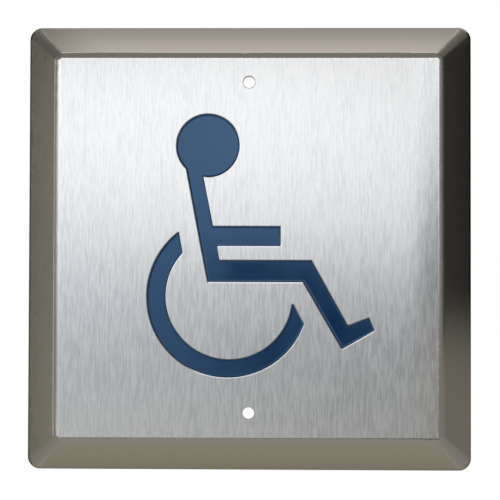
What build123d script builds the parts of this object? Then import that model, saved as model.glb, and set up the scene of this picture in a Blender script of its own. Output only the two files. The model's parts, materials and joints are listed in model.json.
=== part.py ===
"""Square accessible-door push plate with its spring mounting and snap-action switch.

Frame: X right, Z up, Y into the wall. The origin is the centre of the mounting face, in the
plane of the wall. The push plate faces -Y. Every height below is a distance in front of the
wall, so a height h is the plane y = -h, and the switch, which hangs inside the wall box, has
negative heights. All sizes are in millimetres.
"""
from build123d import *
from math import asin, atan, cos, degrees, hypot, radians, tan
import os

# ---- push plate: a pan of stainless sheet with bevelled sides ----
PLATE = 114.3            # outside width and height, 4 1/2 in
SHEET = 1.9              # 14 gauge sheet
PAN_DEPTH = 15.0         # front face to rim
RIM_GAP = 3.0            # rim to wall, at rest
TRAVEL = 2.5             # how far the plate is pushed in
BEVEL = 8.45             # width and depth of the 45 degree bevel, between sharp edges
BEND_R = 2.3             # outside radius of the bends
INNER_BEND_R = 0.6
RIM_CORNER_R = 3.1       # plan radius of the corners at the rim
FACE_CORNER_R = 1.8      # plan radius of the corners at the front face
FRONT = RIM_GAP + PAN_DEPTH
INSIDE = FRONT - SHEET   # height of the pan's inside face

# ---- the two screws that fasten the unit to a wall box ----
SCREW_SPACING = 83.34    # 3 9/32 in, single-gang box
SCREW_HOLE_R = 1.5       # close fit for a no. 4 screw
HOLE_EDGE_R = 0.15
SLOT_R = 2.5             # slots in the base plate, for levelling
SLOT_LENGTH = 9.0

# ---- engraved pictogram ----
ENGRAVING = 0.6
ENGRAVING_EDGE = 0.2     # chamfer round the engraving
INFILL = 0.3             # thickness of the enamel in the engraving
CUTTER_R = 0.3           # smallest corner of the engraving
PICTOGRAM_REACH = 36.0   # the pictogram stays within this distance of the middle, each way

# ---- base plate and gasket ----
GASKET = 3.0
GASKET_SIZE = 97.0
GASKET_WINDOW = (60.0, 70.0)
GASKET_CORNER_R = (5.0, 4.0)     # outside, and in the window
GASKET_SLOT_MARGIN = 0.5         # the gasket's slots are this much larger all round
BASE = 102.0
BASE_SHEET = 1.5
BASE_LIP = 4.0           # height of the turned-up edge above the panel
BASE_CORNER_R = 6.0
BASE_REAR = GASKET
BASE_FRONT = GASKET + BASE_SHEET
WINDOW = (11.0, 33.0)    # opening in front of the switch
WINDOW_Z = 3.0
WINDOW_CORNER_R = 1.5
BEAD_W, BEAD_L, BEAD_H, BEAD_X = 6.0, 62.0, 1.0, 34.0    # stiffening beads
BEAD_ROUND = 0.8

# ---- four guides, each a welded stud in a shouldered sleeve that slides in a nylon bush ----
GUIDE_X, GUIDE_Z = 19.0, 27.0
STUD_R = 2.0
STUD_TAIL = 5.6          # how far the stud reaches behind the wall plane
STUD_FLANGE = (2.75, 0.8)    # radius and thickness of the weld flange
SLEEVE_R = 3.0
SLEEVE_SHOULDER_R = 4.25
BUSH_R = 4.5
BUSH_FLANGE = (6.3, 1.2)     # radius and thickness, in front of the base plate
BUSH_LIP = (5.0, 1.2)        # radius and length, behind it
BUSH_SLIT = 0.9
RUNNING = 0.05           # radial clearance of sliding fits
TOUCH = 0.05             # gap left where a stop or a contact rests
THREAD = 0.02            # radial gap between plain solids that stand for mating threads
LOOSE = 0.15             # radial clearance of a washer, and round the weld flange
WASHER = (5.5, 1.0)          # radius and thickness
NUT_FLATS, NUT_HEX, NUT_COLLAR = 7.0, 3.5, 1.5   # across flats, and the two heights
NUT_COLLAR_R, INSERT_R = 3.3, 2.85
NUT_SKIN = 0.3           # the collar turned in over the nylon ring
NUT_TURNED = 0.1         # a nut's turned end is this much smaller, in radius, than its flats
EDGE = 0.4               # chamfer or rounding of turned and moulded ends

# ---- return springs ----
WIRE_R = 0.4
SPRING_R = 5.2           # to the middle of the wire
SPRING_TURNS = 5.5

# ---- snap-action switch, size V7, standing on end behind the base plate ----
CASE_L, CASE_W, CASE_H = 27.8, 10.3, 15.9
CASE_TOP = 2.0           # height of the plunger side
CASE_Z = 2.5             # middle of the case
CASE_WALL = 1.2
CASE_FLOOR = 1.6
COVER = 1.75
FIXING_L, FIXING_H = 22.2, 10.3
FIXING_R = 1.55
BOSS_R = 2.6
CASE_ROUND = 0.8
CASE_EAR, CASE_EAR_R = 0.9, 1.3  # thickness and radius of the ears that hold the lever's pin
SWITCH_SCREW_R = 1.5
SWITCH_HEAD, SWITCH_HEAD_R = 1.9, 2.8
CROSS_L, CROSS_W, CROSS_DEPTH = 3.0, 0.7, 1.1
SWITCH_NUT_FLATS, SWITCH_NUT = 5.5, 2.4
THREAD_END = 1.2         # how far the screws pass their nuts

# ---- lever, pin and plunger ----
PIVOT_Z = 14.0
PIVOT_ABOVE = 1.2        # above the plunger side of the case
PIN_R = 0.5
LEVER_EYE_R = 1.0
LEVER_SHEET = 0.45
LEVER_W = 4.6
LEVER_L = 22.4
LEVER_TIP_R = 1.2
PLUNGER_Z = 8.7
PLUNGER_R = 1.5
PLUNGER_DOME_R = 3.0
PLUNGER_FLANGE_R, PLUNGER_FLANGE = 2.0, 0.8
PLUNGER_STEM_R = 0.8
DOME_GAP = 0.1           # nominal gap under a dome that meets the sloping lever

# ---- contacts ----
STRIP, STRIP_W = 0.8, 4.0
TAB_W, TAB_L, TAB_HOLE_R = 6.35, 8.0, 0.9
PAD_R, PAD = 1.4, 0.6
BLADE_H = -4.6           # height of the moving blade
BLADE, BLADE_W = 0.3, 3.2
BLADE_PIVOT_Z, CONTACT_Z = 10.2, -6.5
RIVET_HALF = 0.85        # half the length of the moving contact
OPEN_GAP = 1.05          # moving contact to normally open contact, at rest
COMMON_Z, NORMALLY_OPEN_Z = 10.2, 0.6
TAB_CHAMFER = 1.0
SHOULDER = 0.3           # gap between the case and a terminal's wide part
SNAP_Z = (1.6, 7.2)      # ends of the bowed spring under the blade
SNAP_BOW, SNAP_SHEET, SNAP_W = 1.5, 0.2, 1.4

# ---- striker ----
BOSS_LENGTH = 6.0
BOSS_OUTER_R = 4.0
BOSS_FLOOR = 1.5
JAM_NUT = 2.2
STRIKER_FLATS, STRIKER_HEX = 6.0, 1.5
STRIKER_DOME_R, STRIKER_TIP_R, STRIKER_TIP = 4.3, 2.2, 0.6
STRIKER_END = 2.5        # gap from the screw's end to the plate

# ---- bracket ----
BRACKET = 1.2
FOOT = (12.85, 14.0)     # length away from the switch, width
FOOT_Z = 2.5
RIVET_R = 1.6
RIVET_PITCH = 8.0
RIVET_X = 13.5
RIVET_HEAD, RIVET_HEAD_R, RIVET_TAIL_R, RIVET_ROUND = 0.9, 2.9, 2.6, 0.7
LEG_MARGIN = (0.6, 0.4)  # the leg stops short of the case's rear and front by this much
FOOT_ROUND = 2.0

CORNERS = {
    "top_left": (-GUIDE_X, GUIDE_Z),
    "top_right": (GUIDE_X, GUIDE_Z),
    "bottom_left": (-GUIDE_X, -GUIDE_Z),
    "bottom_right": (GUIDE_X, -GUIDE_Z),
}

# The lever's underside lies LEVER_EYE_R below its pivot, and lies flat when the plate is fully in.
LEVER_TOP_OFFSET = LEVER_EYE_R - LEVER_SHEET
STRIKE_ARM = PIVOT_Z     # the striker works at the middle of the plate, z = 0
# Rest angle, in radians, at which the striker has TRAVEL to go at STRIKE_ARM from the pivot.
LEVER_DROP = TRAVEL - LEVER_TOP_OFFSET
LEVER_REST = atan(LEVER_DROP / STRIKE_ARM) + asin(LEVER_TOP_OFFSET / hypot(STRIKE_ARM, LEVER_DROP))
PIVOT_H = CASE_TOP + PIVOT_ABOVE
STRIKE_H = PIVOT_H + STRIKE_ARM * tan(LEVER_REST) - LEVER_TOP_OFFSET / cos(LEVER_REST)
PLUNGER_ARM = PIVOT_Z - PLUNGER_Z
PLUNGER_H = PIVOT_H + PLUNGER_ARM * tan(LEVER_REST) - LEVER_EYE_R / cos(LEVER_REST)


# ---------------------------------------------------------------- helpers
NEAR = 1e-3              # two places closer than this are the same


def slab(outline, low, high):
    """A flat outline in X and Z, made solid from height low to height high."""
    return extrude(Plane.XZ.offset(low) * outline, high - low)


def rod(x, z, radius, low, high):
    """A round bar square to the wall."""
    return slab(Pos(x, z) * Circle(radius), low, high)


def block(x, z, heights):
    """A box from ranges of x, z and height."""
    outline = Pos(sum(x) / 2, sum(z) / 2) * Rectangle(abs(x[1] - x[0]), abs(z[1] - z[0]))
    return slab(outline, min(heights), max(heights))


def cross_rod(x, z, height, radius):
    """A round bar along X, between the two values of x."""
    bar = Cylinder(radius, abs(x[1] - x[0]))
    return Pos(sum(x) / 2, -height, z) * Rot(0, 90, 0) * bar


def hexagon(flats):
    return RegularPolygon(flats / 2, 6, major_radius=False)


def edges_at(solid, height):
    """The edges that lie in the plane at this height."""
    flat = [e for e in solid.edges() if abs(e.center().Y + height) < NEAR]
    return [e for e in flat if all(abs(v.Y + height) < NEAR for v in e.vertices())]


def round_edge(solid, height, x, z, radius, size):
    """Rounds the edge of a round hole or bar of this radius at this height."""
    round_ones = [e for e in edges_at(solid, height) if e.geom_type == GeomType.CIRCLE]
    rim = [e for e in round_ones if abs(e.radius - radius) < NEAR
           and hypot(e.arc_center.X - x, e.arc_center.Z - z) < NEAR]
    return fillet(rim, size)


def grouped(solids):
    return Compound(children=list(solids))


# ---------------------------------------------------------------- push plate
def pan_body(width, rim, bevel_low, bevel_width, top, rim_r, face_r, bend_r):
    """A closed solid with straight sides, a 45 degree bevel and a flat top, its bends rounded."""
    wide = RectangleRounded(width, width, rim_r)
    narrow = RectangleRounded(width - 2 * bevel_width, width - 2 * bevel_width, face_r)
    sides = slab(wide, rim, bevel_low)
    crown = loft(
        [Plane.XZ.offset(bevel_low) * wide, Plane.XZ.offset(top) * narrow], ruled=True
    )
    body = sides + crown
    return fillet(edges_at(body, bevel_low) + edges_at(body, top), bend_r)


def push_plate():
    """The pan, hollowed to sheet thickness, with its two screw holes and the engraving."""
    outer = pan_body(
        PLATE, RIM_GAP, FRONT - BEVEL, BEVEL, FRONT, RIM_CORNER_R, FACE_CORNER_R, BEND_R
    )
    # Inside, the sharp edges of a 45 degree bend are drawn in by SHEET times tan 22.5 degrees.
    draw = SHEET * tan(radians(22.5))
    inner = pan_body(
        PLATE - 2 * SHEET,
        RIM_GAP - 1,
        FRONT - BEVEL - draw,
        BEVEL - SHEET + draw,
        INSIDE,
        RIM_CORNER_R - SHEET,
        FACE_CORNER_R - draw,
        INNER_BEND_R,
    )
    plate = outer - inner
    for side in (1, -1):
        z = side * SCREW_SPACING / 2
        plate -= rod(0, z, SCREW_HOLE_R, INSIDE - 1, FRONT + 1)
        plate = round_edge(plate, FRONT, 0, z, SCREW_HOLE_R, HOLE_EDGE_R)
    plate -= slab(pictogram(), FRONT - ENGRAVING, FRONT + 1)
    lip = [e for e in edges_at(plate, FRONT)
           if max(abs(e.center().X), abs(e.center().Z)) < PICTOGRAM_REACH]
    return chamfer(lip, ENGRAVING_EDGE)


def seated_figure():
    """Head, body, arm and leg of the wheelchair user, in one outline."""
    head = Pos(-10.3, 25.62) * Circle(8.0)
    body = Polyline(
        (-15.85, 20.2), (-10.35, -8.78), (13.75, -8.78), (23.5, -25.55), (31.72, -20.85),
        (30.3, -17.6), (25.0, -19.65), (15.85, -3.3), (-7.32, -3.3), (-7.95, 0.3),
        (8.08, 0.3), (8.08, 5.25), (-8.95, 5.25), (-11.6, 18.6), (-13.4, 22.0), close=True,
    )
    figure = make_face(body)
    return fillet(figure.vertices(), CUTTER_R) + head


def wheel_arc():
    """The wheel, an open ring with slanted ends."""
    outer = ThreePointArc((-17.6, 3.92), (-17.25, -28.9), (13.95, -19.3))
    inner = ThreePointArc((-16.6, -1.45), (-7.0, -28.15), (10.95, -13.6))
    ends = Line(outer @ 0, inner @ 0) + Line(outer @ 1, inner @ 1)
    ring = make_face(outer + inner + ends)
    return fillet(ring.vertices(), CUTTER_R)


def pictogram():
    """Seated wheelchair user facing right, the generic sign for access."""
    return seated_figure() + wheel_arc()


def symbol_infill():
    floor = FRONT - ENGRAVING
    return slab(pictogram(), floor, floor + INFILL)


# ---------------------------------------------------------------- guides
def weld_stud(x, z):
    shank = rod(x, z, STUD_R, -STUD_TAIL, INSIDE)
    shank = chamfer(edges_at(shank, -STUD_TAIL), EDGE)
    return shank + rod(x, z, STUD_FLANGE[0], INSIDE - STUD_FLANGE[1], INSIDE)


def guide_sleeve(x, z):
    """Turned sleeve, whose shoulder meets the bush when the plate is fully in."""
    shoulder = BASE_FRONT + BUSH_FLANGE[1] + TRAVEL + TOUCH
    rear = BASE_REAR - BUSH_LIP[1] - TOUCH
    sleeve = rod(x, z, SLEEVE_SHOULDER_R, shoulder, INSIDE) + rod(x, z, SLEEVE_R, rear, shoulder)
    sleeve -= rod(x, z, STUD_R + RUNNING, rear - 1, INSIDE + 1)
    flange_r, flange = STUD_FLANGE
    return sleeve - rod(x, z, flange_r + LOOSE, INSIDE - flange - LOOSE, INSIDE + 1)


def guide_bush(x, z):
    """Snap-in nylon bush, its rear lip slit so that it springs through the hole."""
    lip_r, lip = BUSH_LIP
    flange_r, flange = BUSH_FLANGE
    rear = BASE_REAR - lip
    bush = rod(x, z, BUSH_R, rear, BASE_FRONT) + rod(x, z, lip_r, rear, BASE_REAR)
    bush = chamfer(edges_at(bush, rear), EDGE)
    top = rod(x, z, flange_r, BASE_FRONT, BASE_FRONT + flange)
    top = fillet(edges_at(top, BASE_FRONT + flange), EDGE)
    bush = bush + top - rod(x, z, SLEEVE_R + RUNNING, rear - 1, BASE_FRONT + flange + 1)
    wide, narrow = 2 * flange_r, BUSH_SLIT
    for size in ((wide, narrow), (narrow, wide)):
        bush -= slab(Pos(x, z) * Rectangle(*size), rear - 1, BASE_REAR - BUSH_SLIT / 4)
    return bush


def washer(x, z):
    top = BASE_REAR - BUSH_LIP[1] - TOUCH
    radius, thick = WASHER
    disc = rod(x, z, radius, top - thick, top)
    return disc - rod(x, z, STUD_R + LOOSE, top - thick - 1, top + 1)


def chamfered_nut(x, z, flats, top, height):
    """A hexagon with the corners of its lower end turned off."""
    low = top - height
    radius = flats / 2 - NUT_TURNED
    cone = Cone(radius, radius + flats, flats)
    turned = Pos(x, -low, z) * Rot(90, 0, 0) * Pos(0, 0, flats / 2) * cone
    return slab(Pos(x, z) * hexagon(flats), low, top) & turned


def locknut(x, z):
    top = BASE_REAR - BUSH_LIP[1] - TOUCH - WASHER[1]
    low = top - NUT_HEX
    nut = chamfered_nut(x, z, NUT_FLATS, top, NUT_HEX)
    nut += rod(x, z, NUT_COLLAR_R, low - NUT_COLLAR, low + EDGE)
    nut = round_edge(nut, low - NUT_COLLAR, x, z, NUT_COLLAR_R, EDGE)
    nut -= rod(x, z, STUD_R + THREAD, low - NUT_COLLAR - 1, top + 1)
    return nut - rod(x, z, INSERT_R, low - NUT_COLLAR + NUT_SKIN, low)


def locknut_insert(x, z):
    low = BASE_REAR - BUSH_LIP[1] - TOUCH - WASHER[1] - NUT_HEX
    ring = rod(x, z, INSERT_R - THREAD, low - NUT_COLLAR + NUT_SKIN, low)
    return ring - rod(x, z, STUD_R + THREAD, low - NUT_COLLAR, low + 1)


def return_spring(x, z):
    """Open coil between the bush's flange and the inside of the plate."""
    seat = BASE_FRONT + BUSH_FLANGE[1]
    low, high = seat + WIRE_R + TOUCH, INSIDE - WIRE_R - TOUCH
    path = Helix((high - low) / SPRING_TURNS, high - low, SPRING_R)
    wire = sweep(Plane(path @ 0, z_dir=path % 0) * Circle(WIRE_R), path, is_frenet=True)
    return Pos(x, -low, z) * Rot(90, 0, 0) * wire


# ---------------------------------------------------------------- base plate and gasket
def slots(radius, length, low, high):
    outline = Sketch() + [
        Pos(0, side * SCREW_SPACING / 2) * Rot(0, 0, 90) * SlotOverall(length, 2 * radius)
        for side in (1, -1)
    ]
    return slab(outline, low, high)


def base_plate():
    """Shallow pressed tray with a turned-up edge and two stiffening beads."""
    top = BASE_FRONT + BASE_LIP
    outer = slab(RectangleRounded(BASE, BASE, BASE_CORNER_R), BASE_REAR, top)
    outer = fillet(edges_at(outer, BASE_REAR), BASE_SHEET + INNER_BEND_R)
    inside = BASE - 2 * BASE_SHEET
    hollow = slab(RectangleRounded(inside, inside, BASE_CORNER_R - BASE_SHEET), BASE_FRONT, top + 1)
    hollow = fillet(edges_at(hollow, BASE_FRONT), INNER_BEND_R)
    plate = outer - hollow
    inset = 2 * BASE_SHEET
    for side in (1, -1):
        run = Pos(side * BEAD_X, 0) * Rot(0, 0, 90)
        ridge = slab(run * SlotOverall(BEAD_L, BEAD_W), BASE_FRONT, BASE_FRONT + BEAD_H)
        ridge = fillet(edges_at(ridge, BASE_FRONT + BEAD_H), BEAD_ROUND)
        trough = run * SlotOverall(BEAD_L - inset, BEAD_W - inset)
        plate = plate + ridge - slab(trough, BASE_REAR - 1, BASE_REAR + BEAD_H)
    opening = Pos(0, WINDOW_Z) * RectangleRounded(*WINDOW, WINDOW_CORNER_R)
    plate -= slab(opening, BASE_REAR - 1, top)
    plate -= slots(SLOT_R, SLOT_LENGTH, BASE_REAR - 1, top)
    for x, z in CORNERS.values():
        plate -= rod(x, z, BUSH_R + RUNNING, BASE_REAR - 1, top)
    for z in rivet_places():
        plate -= rod(RIVET_X, z, RIVET_R + THREAD, BASE_REAR - 1, top)
    return plate


def wall_gasket():
    frame = RectangleRounded(GASKET_SIZE, GASKET_SIZE, GASKET_CORNER_R[0])
    frame -= RectangleRounded(*GASKET_WINDOW, GASKET_CORNER_R[1])
    margin = GASKET_SLOT_MARGIN
    return slab(frame, 0, GASKET) - slots(SLOT_R + margin, SLOT_LENGTH + 2 * margin, -1, GASKET + 1)


# ---------------------------------------------------------------- striker
def striker_boss():
    low = INSIDE - BOSS_LENGTH
    boss = rod(0, 0, BOSS_OUTER_R, low, INSIDE)
    boss = chamfer(edges_at(boss, low), EDGE)
    return boss - rod(0, 0, STUD_R + THREAD, low - 1, INSIDE - BOSS_FLOOR)


def striker_jam_nut():
    top = INSIDE - BOSS_LENGTH
    return chamfered_nut(0, 0, NUT_FLATS, top, JAM_NUT) - rod(0, 0, STUD_R + THREAD, 0, top + 1)


def striker_screw():
    """Adjusting screw with a domed hexagon head, which works the lever."""
    tip = STRIKE_H + DOME_GAP
    head_low = tip + STRIKER_TIP
    head_high = head_low + STRIKER_HEX
    ball = Pos(0, -(tip + STRIKER_DOME_R), 0) * Sphere(STRIKER_DOME_R)
    dome = ball & rod(0, 0, STRIKER_TIP_R, tip - 1, head_high)
    shank = rod(0, 0, STUD_R, head_low, INSIDE - STRIKER_END)
    return slab(hexagon(STRIKER_FLATS), head_low, head_high) + dome + shank


# ---------------------------------------------------------------- switch
def fixings():
    """Where the two screws cross the switch, as (z, height)."""
    middle = CASE_TOP - CASE_H / 2
    return [
        (CASE_Z + FIXING_L / 2, middle + FIXING_H / 2),
        (CASE_Z - FIXING_L / 2, middle - FIXING_H / 2),
    ]


def case_z(inset=0.0):
    return (CASE_Z - CASE_L / 2 + inset, CASE_Z + CASE_L / 2 - inset)


def switch_case():
    """Moulded tray that holds the contacts, with two ears for the lever's pin."""
    side = CASE_W / 2
    seam = COVER - side
    floor = CASE_TOP - CASE_H
    case = block((seam, side), case_z(), (floor, CASE_TOP))
    ribs = case.edges().filter_by(Axis.X)
    case = fillet(ribs, CASE_ROUND)
    cavity = block(
        (seam - 1, side - CASE_WALL), case_z(CASE_WALL), (floor + CASE_FLOOR, CASE_TOP - CASE_WALL)
    )
    case -= cavity
    for z, height in fixings():
        case += cross_rod((seam, side - CASE_WALL / 2), z, height, BOSS_R)
        case -= cross_rod((seam - 1, side + 1), z, height, FIXING_R)
    case -= rod(0, PLUNGER_Z, PLUNGER_R + RUNNING, CASE_TOP - CASE_WALL - 1, CASE_TOP + 1)
    near = LEVER_W / 2 + DOME_GAP
    for sign in (1, -1):
        x = (sign * near, sign * (near + CASE_EAR))
        case += cross_rod(x, PIVOT_Z, PIVOT_H, CASE_EAR_R)
        case += block(x, (PIVOT_Z - CASE_EAR_R, PIVOT_Z + CASE_EAR_R),
                      (CASE_TOP - CASE_WALL / 2, PIVOT_H))
    case -= cross_rod((-side, side), PIVOT_Z, PIVOT_H, PIN_R + THREAD)
    strip_x = (-STRIP_W / 2, STRIP_W / 2)
    for z in (COMMON_Z, NORMALLY_OPEN_Z):
        case -= block(strip_x, (z - STRIP / 2, z + STRIP / 2), (floor - 1, floor + 2 * CASE_FLOOR))
    end = case_z()[0]
    return case - block(strip_x, (end - 1, end + 2 * CASE_WALL), closed_arm_heights())


def switch_cover():
    side = CASE_W / 2
    cover = block((-side, COVER - side), case_z(), (CASE_TOP - CASE_H, CASE_TOP))
    cover = fillet(cover.edges().filter_by(Axis.X), CASE_ROUND)
    outer = cover.faces().sort_by(Axis.X)[0]
    cover = chamfer(outer.edges(), EDGE)
    for z, height in fixings():
        cover -= cross_rod((-side - 1, COVER - side + 1), z, height, FIXING_R)
    return cover


def closed_arm_heights():
    """The arm of the normally closed terminal, whose contact the moving one rests against."""
    pad_low = BLADE_H + RIVET_HALF + TOUCH
    return (pad_low + PAD, pad_low + PAD + STRIP)


def tab(z, low):
    """Quick-connect tab that points into the wall box, its end chamfered and its hole central."""
    blade = block((-TAB_W / 2, TAB_W / 2), (z - STRIP / 2, z + STRIP / 2), (low - TAB_L, low))
    tips = [e for e in edges_at(blade, low - TAB_L) if e.length < 2 * STRIP]
    blade = chamfer(tips, TAB_CHAMFER)
    return blade - Pos(0, -(low - TAB_L / 2), z) * Cylinder(TAB_HOLE_R, 4 * STRIP)


def terminal_common():
    floor = CASE_TOP - CASE_H
    top = BLADE_H - BLADE - TOUCH
    post = block((-STRIP_W / 2, STRIP_W / 2), (COMMON_Z - STRIP / 2, COMMON_Z + STRIP / 2),
                 (floor - SHOULDER, top))
    return post + tab(COMMON_Z, floor - SHOULDER)


def terminal_normally_open():
    floor = CASE_TOP - CASE_H
    pad_high = BLADE_H - RIVET_HALF - OPEN_GAP
    arm_high = pad_high - PAD
    z = NORMALLY_OPEN_Z
    half = STRIP_W / 2
    arm = block((-half, half), (CONTACT_Z - half, z + STRIP / 2), (arm_high - STRIP, arm_high))
    leg = block((-half, half), (z - STRIP / 2, z + STRIP / 2), (floor - SHOULDER, arm_high))
    pad = rod(0, CONTACT_Z, PAD_R, arm_high, pad_high)
    return arm + leg + pad + tab(z, floor - SHOULDER)


def terminal_normally_closed():
    """Leaves through the lower end of the case, so its blade points down the wall."""
    low, high = closed_arm_heights()
    half = STRIP_W / 2
    end = case_z()[0] - SHOULDER
    arm = block((-half, half), (end, CONTACT_Z + half), (low, high))
    blade = block((-TAB_W / 2, TAB_W / 2), (end - TAB_L, end), (low, high))
    tips = blade.edges().filter_by(Axis.Y).sort_by(Axis.Z)[:2]
    blade = chamfer(tips, TAB_CHAMFER) - rod(0, end - TAB_L / 2, TAB_HOLE_R, low - 1, high + 1)
    return arm + blade + rod(0, CONTACT_Z, PAD_R, low - PAD, low)


def contact_blade():
    """Copper strip that rocks on the common terminal, at rest against the closed contact."""
    strip = block((-BLADE_W / 2, BLADE_W / 2), (CONTACT_Z - BLADE_W / 2, BLADE_PIVOT_Z),
                  (BLADE_H - BLADE / 2, BLADE_H + BLADE / 2))
    strip += cross_rod((-BLADE_W / 2, BLADE_W / 2), BLADE_PIVOT_Z, BLADE_H, BLADE)
    return strip - rod(0, CONTACT_Z, PAD_R / 2, BLADE_H - 1, BLADE_H + 1)


def moving_contact():
    shank = rod(0, CONTACT_Z, PAD_R / 2 - THREAD, BLADE_H - RIVET_HALF, BLADE_H + RIVET_HALF)
    for sign in (1, -1):
        ends = sorted((BLADE_H + sign * BLADE / 2, BLADE_H + sign * RIVET_HALF))
        shank += rod(0, CONTACT_Z, PAD_R, *ends)
    return shank


def snap_spring():
    """Bowed strip under the blade, which throws it over."""
    near, far = SNAP_Z
    middle = (near + far) / 2
    level = BLADE_H - BLADE / 2
    deepest = level - SNAP_BOW
    lower = ThreePointArc((near, level), (middle, deepest), (far, level))
    upper = ThreePointArc((near + SNAP_SHEET, level), (middle, deepest + SNAP_SHEET),
                          (far - SNAP_SHEET, level))
    ends = Line(lower @ 0, upper @ 0) + Line(lower @ 1, upper @ 1)
    profile = make_face(lower + upper + ends)
    # The profile is drawn in Z and height, so its plane looks along X.
    side = Plane(origin=(-SNAP_W / 2, 0, 0), x_dir=(0, 0, 1), z_dir=(1, 0, 0))
    return extrude(side * profile, SNAP_W)


def switch_plunger():
    """Button under the lever: a domed pin, a flange inside the case and a stem."""
    tip = PLUNGER_H - DOME_GAP
    inner = CASE_TOP - CASE_WALL
    flange_high = inner - TOUCH
    flange_low = flange_high - PLUNGER_FLANGE
    stem_low = BLADE_H + BLADE / 2 + TOUCH + PLUNGER_H - (PIVOT_H - LEVER_EYE_R)
    ball = Pos(0, -(tip - PLUNGER_DOME_R), PLUNGER_Z) * Sphere(PLUNGER_DOME_R)
    pin = rod(0, PLUNGER_Z, PLUNGER_R, flange_low, tip) & ball
    pin += rod(0, PLUNGER_Z, PLUNGER_FLANGE_R, flange_low, flange_high)
    return pin + rod(0, PLUNGER_Z, PLUNGER_STEM_R, stem_low, flange_high)


def switch_lever():
    """Spring strip with an eye round the pin, raised to its rest angle."""
    half = LEVER_W / 2
    low = PIVOT_H - LEVER_EYE_R
    strip = block((-half, half), (PIVOT_Z - LEVER_L, PIVOT_Z), (low, low + LEVER_SHEET))
    tips = strip.edges().filter_by(Axis.Y).sort_by(Axis.Z)[:2]
    strip = fillet(tips, LEVER_TIP_R)
    lever = strip + cross_rod((-half, half), PIVOT_Z, PIVOT_H, LEVER_EYE_R)
    lever -= cross_rod((-half - 1, half + 1), PIVOT_Z, PIVOT_H, LEVER_TOP_OFFSET)
    turn = Pos(0, -PIVOT_H, PIVOT_Z) * Rot(-degrees(LEVER_REST), 0, 0) * Pos(0, PIVOT_H, -PIVOT_Z)
    return turn * lever


def lever_pin():
    reach = LEVER_W / 2 + DOME_GAP + CASE_EAR + TOUCH
    return cross_rod((-reach, reach), PIVOT_Z, PIVOT_H, PIN_R)


# ---------------------------------------------------------------- bracket and its fasteners
def rivet_places():
    return [FOOT_Z - RIVET_PITCH / 2, FOOT_Z + RIVET_PITCH / 2]


def switch_bracket():
    """Angle of sheet, its foot riveted behind the base plate and its leg beside the switch."""
    near = CASE_W / 2
    far = near + FOOT[0]
    foot_low = BASE_REAR - BRACKET
    foot_z = (FOOT_Z - FOOT[1] / 2, FOOT_Z + FOOT[1] / 2)
    leg_heights = (CASE_TOP - CASE_H + LEG_MARGIN[0], CASE_TOP - LEG_MARGIN[1])
    leg = block((near, near + BRACKET), case_z(), leg_heights)
    leg = fillet(leg.edges().filter_by(Axis.X), FOOT_ROUND)
    neck = block((near, near + BRACKET), foot_z, (CASE_TOP - 2 * FOOT_ROUND, BASE_REAR))
    angle = block((near, far), foot_z, (foot_low, BASE_REAR)) + neck
    for x, height, radius in (
        (near, BASE_REAR, BRACKET + INNER_BEND_R),
        (near + BRACKET, foot_low, INNER_BEND_R),
    ):
        corner = [e for e in angle.edges().filter_by(Axis.Z)
                  if hypot(e.center().X - x, e.center().Y + height) < NEAR]
        angle = fillet(corner, radius)
    angle = fillet(angle.edges().filter_by(Axis.Y).sort_by(Axis.X)[-2:], FOOT_ROUND)
    bracket = leg + angle
    for z, height in fixings():
        bracket -= cross_rod((near - 1, near + BRACKET + 1), z, height, FIXING_R + THREAD)
    for z in rivet_places():
        bracket -= rod(RIVET_X, z, RIVET_R + THREAD, foot_low - 1, BASE_REAR + 1)
    return bracket


def bracket_rivet(z):
    foot_low = BASE_REAR - BRACKET
    top, bottom = BASE_FRONT + RIVET_HEAD, foot_low - RIVET_HEAD
    front = rod(RIVET_X, z, RIVET_HEAD_R, BASE_FRONT, top)
    front = fillet(edges_at(front, top), RIVET_ROUND)
    rear = rod(RIVET_X, z, RIVET_TAIL_R, bottom, foot_low)
    rear = fillet(edges_at(rear, bottom), RIVET_ROUND)
    return front + rod(RIVET_X, z, RIVET_R, foot_low, BASE_FRONT) + rear


def switch_screw(z, height):
    """Pan head screw across the switch, with a cross recess."""
    side = CASE_W / 2
    end = side + BRACKET + SWITCH_NUT + THREAD_END
    crown_x = -side - SWITCH_HEAD
    pan = cross_rod((crown_x, -side), z, height, SWITCH_HEAD_R)
    pan = fillet(pan.edges().sort_by(Axis.X)[:1], SWITCH_HEAD / 2)
    screw = pan + cross_rod((crown_x + SWITCH_HEAD / 2, end), z, height, SWITCH_SCREW_R)
    depth = (crown_x - 1, crown_x + CROSS_DEPTH)
    for long, tall in ((CROSS_L, CROSS_W), (CROSS_W, CROSS_L)):
        screw -= block(depth, (z - long / 2, z + long / 2), (height - tall / 2, height + tall / 2))
    return screw


def switch_nut(z, height):
    near = CASE_W / 2 + BRACKET
    face = Plane(origin=(near, -height, z), x_dir=(0, 0, 1), z_dir=(1, 0, 0))
    nut = extrude(face * hexagon(SWITCH_NUT_FLATS), SWITCH_NUT)
    return nut - cross_rod((near - 1, near + SWITCH_NUT + 1), z, height, SWITCH_SCREW_R + THREAD)


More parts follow.
